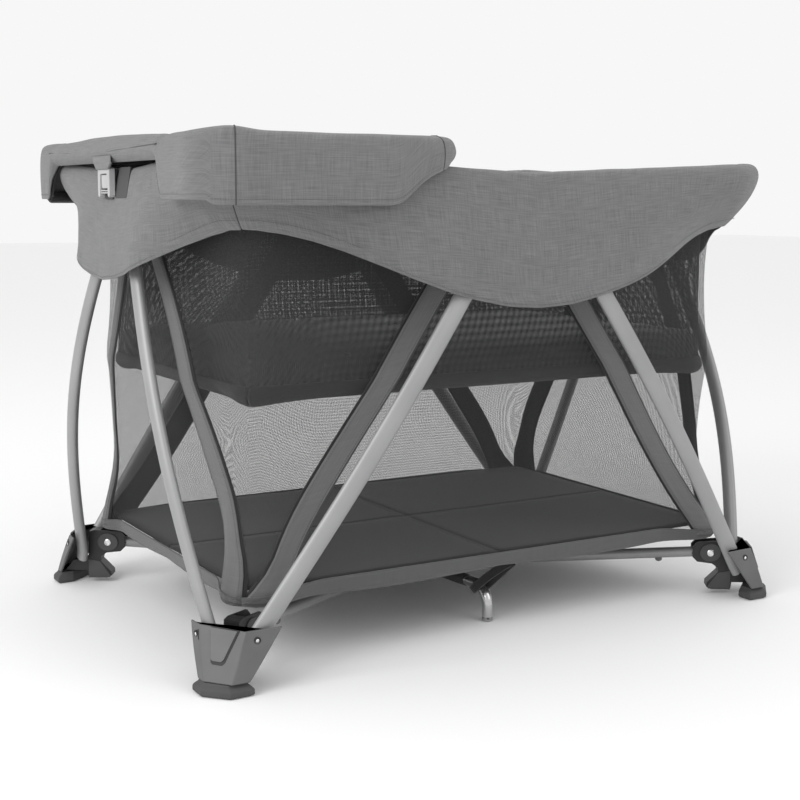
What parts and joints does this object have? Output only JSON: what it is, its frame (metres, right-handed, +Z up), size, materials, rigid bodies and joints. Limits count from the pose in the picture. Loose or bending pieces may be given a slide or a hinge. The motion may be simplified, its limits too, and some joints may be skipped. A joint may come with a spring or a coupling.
{
  "type": "travel play yard",
  "caption": "Folding travel play yard with mesh walls on splayed oval legs, a hanging full-size bassinet and a padded changing tray clipped over one end.",
  "frame": {"origin": "centre of the play yard on the floor it stands on", "axes": "+X along the long sides, away from the changing tray; +Y towards the back long side; +Z up"},
  "size_m": [1.1098, 0.7994, 0.7867],
  "materials": {
    "frame_tube": "satin grey",
    "foot_plastic": "fine moulded texture",
    "foot_rubber": "matt",
    "black_plastic": "matt black",
    "light_plastic": "satin light grey",
    "heather_cloth": "heather grey melange weave",
    "mesh_net": "open charcoal net",
    "charcoal_cloth": "charcoal spacer fabric"
  },
  "bodies": {
    "foot_back_right": {"foot_shell_back_right": "foot_plastic", "foot_pad_back_right": "foot_rubber", "foot_bracket_back_right": "black_plastic"},
    "foot_front_left": {"foot_shell_front_left": "foot_plastic", "foot_pad_front_left": "foot_rubber", "foot_bracket_front_left": "black_plastic"},
    "floor_arm_front_left": {"floor_arm_front_left": "frame_tube"},
    "long_leg_front_left": {"long_leg_front_left": "frame_tube"},
    "short_leg_front_left": {"short_leg_front_left": "frame_tube"},
    "long_rail_front_left": {"long_rail_front_left": "frame_tube"},
    "short_rail_front_left": {"short_rail_front_left": "frame_tube"},
    "foot_front_right": {"foot_shell_front_right": "foot_plastic", "foot_pad_front_right": "foot_rubber", "foot_bracket_front_right": "black_plastic"},
    "floor_arm_front_right": {"floor_arm_front_right": "frame_tube"},
    "long_leg_front_right": {"long_leg_front_right": "frame_tube"},
    "short_leg_front_right": {"short_leg_front_right": "frame_tube"},
    "long_rail_front_right": {"long_rail_front_right": "frame_tube"},
    "short_rail_front_right": {"short_rail_front_right": "frame_tube"},
    "foot_back_left": {"foot_shell_back_left": "foot_plastic", "foot_pad_back_left": "foot_rubber", "foot_bracket_back_left": "black_plastic"},
    "floor_arm_back_left": {"floor_arm_back_left": "frame_tube"},
    "long_leg_back_left": {"long_leg_back_left": "frame_tube"},
    "short_leg_back_left": {"short_leg_back_left": "frame_tube"},
    "long_rail_back_left": {"long_rail_back_left": "frame_tube"},
    "short_rail_back_left": {"short_rail_back_left": "frame_tube"},
    "floor_arm_back_right": {"floor_arm_back_right": "frame_tube"},
    "long_leg_back_right": {"long_leg_back_right": "frame_tube"},
    "short_leg_back_right": {"short_leg_back_right": "frame_tube"},
    "long_rail_back_right": {"long_rail_back_right": "frame_tube"},
    "short_rail_back_right": {"short_rail_back_right": "frame_tube"},
    "centre_hub": {"centre_hub": "black_plastic", "hub_cap": "foot_plastic", "floor_mattress": "charcoal_cloth"},
    "fold_handle": {"fold_handle": "light_plastic"},
    "stand_front": {"stand_front": "frame_tube"},
    "stand_back": {"stand_back": "frame_tube"},
    "rail_joint_front": {"rail_joint_front": "black_plastic", "rim_cover_front": "heather_cloth", "mesh_wall_front": "mesh_net"},
    "rail_joint_back": {"rail_joint_back": "black_plastic", "rim_cover_back": "heather_cloth", "mesh_wall_back": "mesh_net", "bassinet_shell": "charcoal_cloth", "bassinet_mattress": "charcoal_cloth"},
    "rail_joint_left": {"rail_joint_left": "black_plastic", "rim_cover_left": "heather_cloth", "mesh_wall_left": "mesh_net"},
    "rail_joint_right": {"rail_joint_right": "black_plastic", "rim_cover_right": "heather_cloth", "mesh_wall_right": "mesh_net"},
    "changer": {"changer_frame": "frame_tube", "changer_cover": "heather_cloth", "changer_pad": "heather_cloth"},
    "changer_clip": {"changer_clip": "light_plastic"}
  },
  "joints": [
    {"name": "frame_fold", "type": "hinge", "parent": "foot_back_right", "child": "floor_arm_back_right", "pos_m": [0.45418, 0.30158, 0.075], "axis": [-0.5532, 0.8331, 0], "range_deg": [0, 86], "deforming": ["floor_mattress", "bassinet_shell", "bassinet_mattress", "rim_cover_front", "rim_cover_back", "rim_cover_left", "rim_cover_right", "mesh_wall_front", "mesh_wall_back", "mesh_wall_left", "mesh_wall_right"]},
    {"name": "hub_level", "type": "hinge", "parent": "floor_arm_back_right", "child": "centre_hub", "pos_m": [0.04582, 0.03042, 0.048], "axis": [-0.5532, 0.8331, 0], "range_deg": [-86.5, 0]},
    {"name": "arm_turn_front_left", "type": "hinge", "parent": "centre_hub", "child": "floor_arm_front_left", "pos_m": [-0.04582, -0.03042, 0.048], "axis": [0.5532, -0.8331, 0], "range_deg": [0, 86.5]},
    {"name": "foot_level_front_left", "type": "hinge", "parent": "floor_arm_front_left", "child": "foot_front_left", "pos_m": [-0.45418, -0.30158, 0.075], "axis": [0.5532, -0.8331, 0], "range_deg": [-86.5, 0]},
    {"name": "arm_turn_front_right", "type": "hinge", "parent": "centre_hub", "child": "floor_arm_front_right", "pos_m": [0.04582, -0.03042, 0.048], "axis": [0.5532, 0.8331, 0], "range_deg": [0, 86.5]},
    {"name": "foot_level_front_right", "type": "hinge", "parent": "floor_arm_front_right", "child": "foot_front_right", "pos_m": [0.45418, -0.30158, 0.075], "axis": [0.5532, 0.8331, 0], "range_deg": [-86.5, 0]},
    {"name": "arm_turn_back_left", "type": "hinge", "parent": "centre_hub", "child": "floor_arm_back_left", "pos_m": [-0.04582, 0.03042, 0.048], "axis": [-0.5532, -0.8331, 0], "range_deg": [0, 86.5]},
    {"name": "foot_level_back_left", "type": "hinge", "parent": "floor_arm_back_left", "child": "foot_back_left", "pos_m": [-0.45418, 0.30158, 0.075], "axis": [-0.5532, -0.8331, 0], "range_deg": [-86.5, 0]},
    {"name": "long_leg_turn_front_left", "type": "hinge", "parent": "foot_front_left", "child": "long_leg_front_left", "pos_m": [-0.47, -0.352, 0.06], "axis": [0, -1, 0], "range_deg": [0, 29.77]},
    {"name": "short_leg_turn_front_left", "type": "hinge", "parent": "foot_front_left", "child": "short_leg_front_left", "pos_m": [-0.504, -0.306, 0.06], "axis": [1, 0, 0], "range_deg": [0, 21.23]},
    {"name": "long_leg_turn_front_right", "type": "hinge", "parent": "foot_front_right", "child": "long_leg_front_right", "pos_m": [0.47, -0.352, 0.06], "axis": [0, 1, 0], "range_deg": [0, 29.77]},
    {"name": "short_leg_turn_front_right", "type": "hinge", "parent": "foot_front_right", "child": "short_leg_front_right", "pos_m": [0.504, -0.306, 0.06], "axis": [1, 0, 0], "range_deg": [0, 21.23]},
    {"name": "long_leg_turn_back_left", "type": "hinge", "parent": "foot_back_left", "child": "long_leg_back_left", "pos_m": [-0.47, 0.352, 0.06], "axis": [0, -1, 0], "range_deg": [0, 29.77]},
    {"name": "short_leg_turn_back_left", "type": "hinge", "parent": "foot_back_left", "child": "short_leg_back_left", "pos_m": [-0.504, 0.306, 0.06], "axis": [-1, 0, 0], "range_deg": [0, 21.23]},
    {"name": "long_leg_turn_back_right", "type": "hinge", "parent": "foot_back_right", "child": "long_leg_back_right", "pos_m": [0.47, 0.352, 0.06], "axis": [0, 1, 0], "range_deg": [0, 29.77]},
    {"name": "short_leg_turn_back_right", "type": "hinge", "parent": "foot_back_right", "child": "short_leg_back_right", "pos_m": [0.504, 0.306, 0.06], "axis": [-1, 0, 0], "range_deg": [0, 21.23]},
    {"name": "joint_level_front", "type": "hinge", "parent": "long_leg_front_left", "child": "rail_joint_front", "pos_m": [-0.045, -0.3725, 0.68], "axis": [0, -1, 0], "range_deg": [-29.77, 0]},
    {"name": "joint_level_back", "type": "hinge", "parent": "long_leg_back_right", "child": "rail_joint_back", "pos_m": [0.045, 0.3725, 0.68], "axis": [0, 1, 0], "range_deg": [-29.77, 0]},
    {"name": "joint_level_left", "type": "hinge", "parent": "short_leg_back_left", "child": "rail_joint_left", "pos_m": [-0.519, 0.03, 0.68], "axis": [-1, 0, 0], "range_deg": [-21.23, 0]},
    {"name": "joint_level_right", "type": "hinge", "parent": "short_leg_front_right", "child": "rail_joint_right", "pos_m": [0.519, -0.03, 0.68], "axis": [1, 0, 0], "range_deg": [-21.23, 0]},
    {"name": "long_rail_drop_front_left", "type": "hinge", "parent": "rail_joint_front", "child": "long_rail_front_left", "pos_m": [-0.085, -0.35, 0.712], "axis": [0, -1, 0], "range_deg": [0, 90.5]},
    {"name": "short_rail_drop_front_left", "type": "hinge", "parent": "rail_joint_left", "child": "short_rail_front_left", "pos_m": [-0.497, -0.075, 0.712], "axis": [1, 0, 0], "range_deg": [0, 86.5]},
    {"name": "long_rail_drop_front_right", "type": "hinge", "parent": "rail_joint_front", "child": "long_rail_front_right", "pos_m": [0.085, -0.35, 0.712], "axis": [0, 1, 0], "range_deg": [0, 90.5]},
    {"name": "short_rail_drop_front_right", "type": "hinge", "parent": "rail_joint_right", "child": "short_rail_front_right", "pos_m": [0.497, -0.075, 0.712], "axis": [1, 0, 0], "range_deg": [0, 86.5]},
    {"name": "long_rail_drop_back_left", "type": "hinge", "parent": "rail_joint_back", "child": "long_rail_back_left", "pos_m": [-0.085, 0.35, 0.712], "axis": [0, -1, 0], "range_deg": [0, 90.5]},
    {"name": "short_rail_drop_back_left", "type": "hinge", "parent": "rail_joint_left", "child": "short_rail_back_left", "pos_m": [-0.497, 0.075, 0.712], "axis": [-1, 0, 0], "range_deg": [0, 86.5]},
    {"name": "long_rail_drop_back_right", "type": "hinge", "parent": "rail_joint_back", "child": "long_rail_back_right", "pos_m": [0.085, 0.35, 0.712], "axis": [0, 1, 0], "range_deg": [0, 90.5]},
    {"name": "short_rail_drop_back_right", "type": "hinge", "parent": "rail_joint_right", "child": "short_rail_back_right", "pos_m": [0.497, 0.075, 0.712], "axis": [-1, 0, 0], "range_deg": [0, 86.5]},
    {"name": "stand_fold_front", "type": "hinge", "parent": "centre_hub", "child": "stand_front", "pos_m": [0.01, -0.05, 0.048], "axis": [1, 0, 0], "range_deg": [0, 90.5]},
    {"name": "stand_fold_back", "type": "hinge", "parent": "centre_hub", "child": "stand_back", "pos_m": [-0.01, 0.05, 0.048], "axis": [-1, 0, 0], "range_deg": [0, 90.5]},
    {"name": "changer_lift", "type": "slide", "parent": "rail_joint_left", "child": "changer", "axis": [0, 0, 1], "range_m": [0, 0.31]},
    {"name": "clip_release", "type": "hinge", "parent": "changer", "child": "changer_clip", "pos_m": [-0.5446, 0, 0.742], "axis": [0, 1, 0], "range_deg": [0, 25], "stiffness_Nm_per_rad": 0.05},
    {"name": "handle_pull", "type": "slide", "parent": "centre_hub", "child": "fold_handle", "axis": [0, 0, 1], "range_m": [0, 0.01], "stiffness_N_per_m": 200}
  ],
  "couplings": [
    {"joint": "hub_level", "follows": "frame_fold", "ratio": -1},
    {"joint": "arm_turn_front_left", "follows": "frame_fold", "ratio": 1},
    {"joint": "foot_level_front_left", "follows": "frame_fold", "ratio": -1},
    {"joint": "arm_turn_front_right", "follows": "frame_fold", "ratio": 1},
    {"joint": "foot_level_front_right", "follows": "frame_fold", "ratio": -1},
    {"joint": "arm_turn_back_left", "follows": "frame_fold", "ratio": 1},
    {"joint": "foot_level_back_left", "follows": "frame_fold", "ratio": -1},
    {"joint": "long_leg_turn_front_left", "follows": "frame_fold", "ratio": 0.34039},
    {"joint": "short_leg_turn_front_left", "follows": "frame_fold", "ratio": 0.24106},
    {"joint": "long_leg_turn_front_right", "follows": "frame_fold", "ratio": 0.34039},
    {"joint": "short_leg_turn_front_right", "follows": "frame_fold", "ratio": 0.24106},
    {"joint": "long_leg_turn_back_left", "follows": "frame_fold", "ratio": 0.34039},
    {"joint": "short_leg_turn_back_left", "follows": "frame_fold", "ratio": 0.24106},
    {"joint": "long_leg_turn_back_right", "follows": "frame_fold", "ratio": 0.34039},
    {"joint": "short_leg_turn_back_right", "follows": "frame_fold", "ratio": 0.24106},
    {"joint": "joint_level_front", "follows": "frame_fold", "ratio": -0.34039},
    {"joint": "joint_level_back", "follows": "frame_fold", "ratio": -0.34039},
    {"joint": "joint_level_left", "follows": "frame_fold", "ratio": -0.24106},
    {"joint": "joint_level_right", "follows": "frame_fold", "ratio": -0.24106},
    {"joint": "long_rail_drop_front_left", "follows": "frame_fold", "ratio": 1.0465},
    {"joint": "short_rail_drop_front_left", "follows": "frame_fold", "ratio": 1},
    {"joint": "long_rail_drop_front_right", "follows": "frame_fold", "ratio": 1.0465},
    {"joint": "short_rail_drop_front_right", "follows": "frame_fold", "ratio": 1},
    {"joint": "long_rail_drop_back_left", "follows": "frame_fold", "ratio": 1.0465},
    {"joint": "short_rail_drop_back_left", "follows": "frame_fold", "ratio": 1},
    {"joint": "long_rail_drop_back_right", "follows": "frame_fold", "ratio": 1.0465},
    {"joint": "short_rail_drop_back_right", "follows": "frame_fold", "ratio": 1},
    {"joint": "stand_fold_front", "follows": "frame_fold", "ratio": 1.0465},
    {"joint": "stand_fold_back", "follows": "frame_fold", "ratio": 1.0465},
    {"joint": "changer_lift", "follows": "frame_fold", "m_per_rad": 0.19987}
  ]
}
